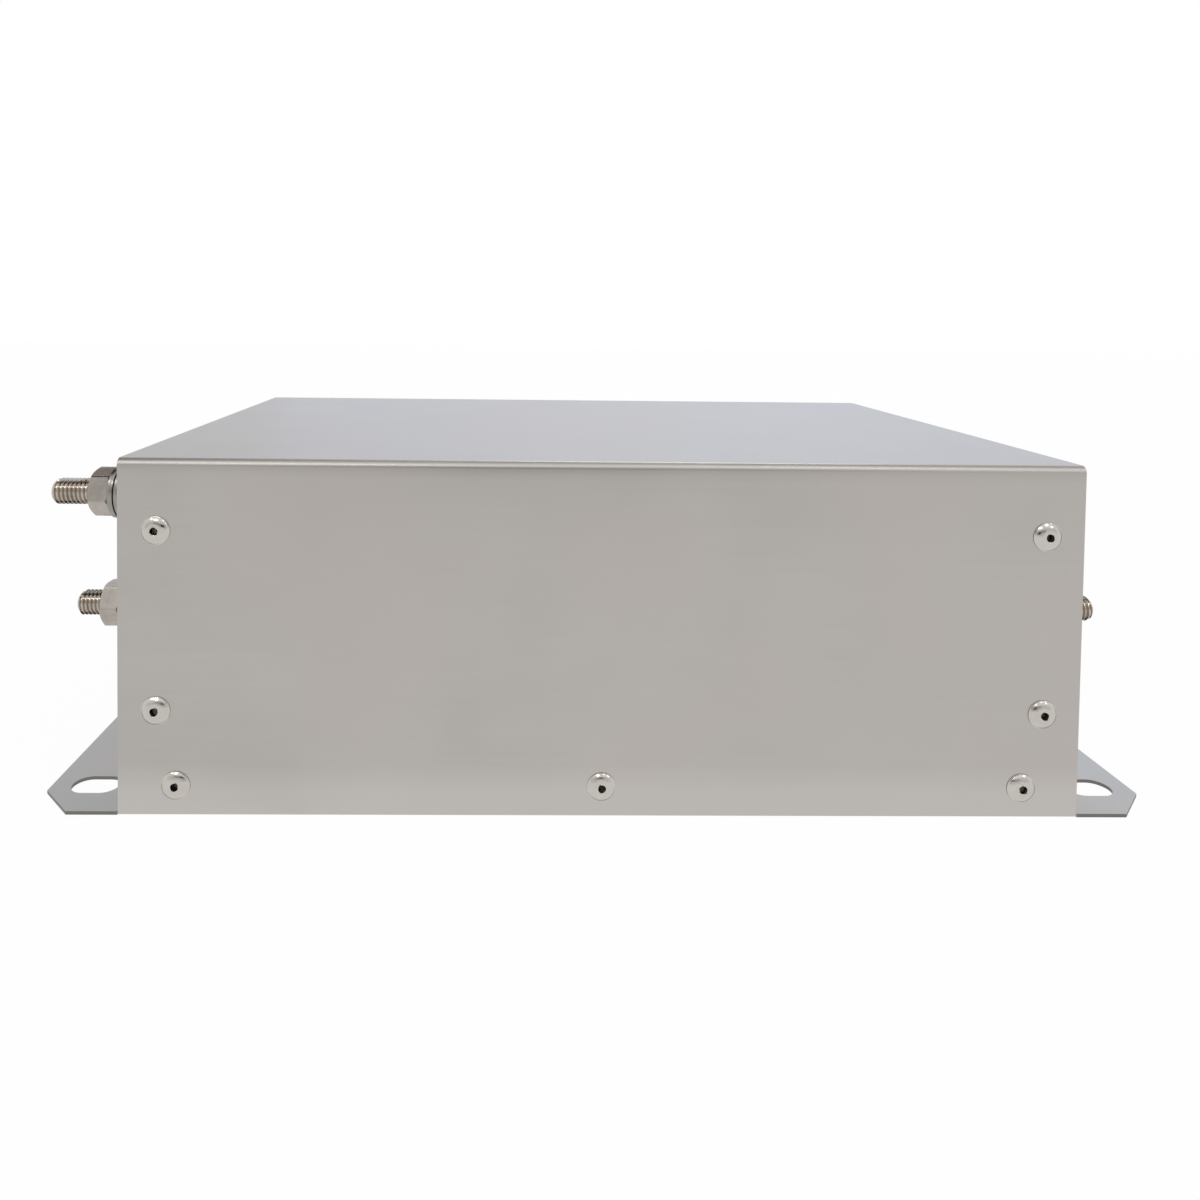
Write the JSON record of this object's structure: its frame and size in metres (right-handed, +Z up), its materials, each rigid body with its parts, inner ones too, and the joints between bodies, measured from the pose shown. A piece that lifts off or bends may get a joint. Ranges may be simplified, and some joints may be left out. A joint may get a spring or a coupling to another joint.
{
  "type": "emi line filter",
  "caption": "Three-phase line filter in a riveted folded-steel case with slotted end flanges, threaded terminal studs on both ends and an earth stud.",
  "frame": {"origin": "on the underside of the base plate, under the middle of the case", "axes": "+X from the line end to the load end, -Y towards the front of the case, +Z up"},
  "size_m": [0.329, 0.1706, 0.1],
  "materials": {
    "sheet_steel": "satin folded stainless sheet with a faint grain",
    "rivet_aluminium": "bright domed aluminium",
    "bush_plastic": "black moulded insulating plastic",
    "plated_stud": "nickel-plated steel thread",
    "plated_fastener": "nickel-plated steel, bright",
    "copper_bar": null,
    "tinned_lug": "tinned copper",
    "brass_post": "plain turned brass",
    "circuit_board": "green glass-fibre laminate",
    "film_capacitor": "yellow moulded box",
    "disc_capacitor": "blue lacquered disc",
    "resistor_body": "lacquered film resistor",
    "choke_core": "dark wound alloy strip core",
    "core_plastic": "ivory moulded plastic",
    "winding_wire": null,
    "glass_fibre_sheet": "cut glass-fibre sheet"
  },
  "bodies": {
    "root": {"base_plate": "sheet_steel", "cover": "sheet_steel", "line_end_plate": "sheet_steel", "load_end_plate": "sheet_steel", "front_rivets": "rivet_aluminium", "back_rivets": "rivet_aluminium", "line_outer_bushes": "bush_plastic", "line_inner_bushes": "bush_plastic", "line_studs": "plated_stud", "line_bush_washers": "plated_fastener", "line_clamp_nuts": "plated_fastener", "line_lug_washers": "plated_fastener", "line_outer_nuts": "plated_fastener", "load_outer_bushes": "bush_plastic", "load_inner_bushes": "bush_plastic", "load_studs": "plated_stud", "load_bush_washers": "plated_fastener", "load_clamp_nuts": "plated_fastener", "load_lug_washers": "plated_fastener", "load_outer_nuts": "plated_fastener", "earth_stud": "plated_stud", "earth_toothed_washer": "plated_fastener", "earth_clamp_nut": "plated_fastener", "earth_lug_washers": "plated_fastener", "earth_outer_nut": "plated_fastener", "line_bars": "copper_bar", "line_lugs": "tinned_lug", "line_lug_screws": "plated_stud", "line_posts": "brass_post", "line_board": "circuit_board", "line_standoffs": "brass_post", "line_board_screws": "plated_stud", "line_x_capacitors": "film_capacitor", "line_y_capacitors": "disc_capacitor", "line_resistors": "resistor_body", "load_bars": "copper_bar", "load_lugs": "tinned_lug", "load_lug_screws": "plated_stud", "load_posts": "brass_post", "load_board": "circuit_board", "load_standoffs": "brass_post", "load_board_screws": "plated_stud", "load_x_capacitors": "film_capacitor", "load_y_capacitors": "disc_capacitor", "load_resistors": "resistor_body", "choke_core": "choke_core", "core_case": "core_plastic", "core_case_lid": "core_plastic", "phase_1_winding": "winding_wire", "phase_2_winding": "winding_wire", "phase_3_winding": "winding_wire", "choke_pad": "glass_fibre_sheet", "phase_separator": "core_plastic", "choke_clamp": "glass_fibre_sheet", "clamp_stud": "plated_stud", "clamp_washer": "plated_fastener", "clamp_nut": "plated_fastener"}
  },
  "joints": []
}
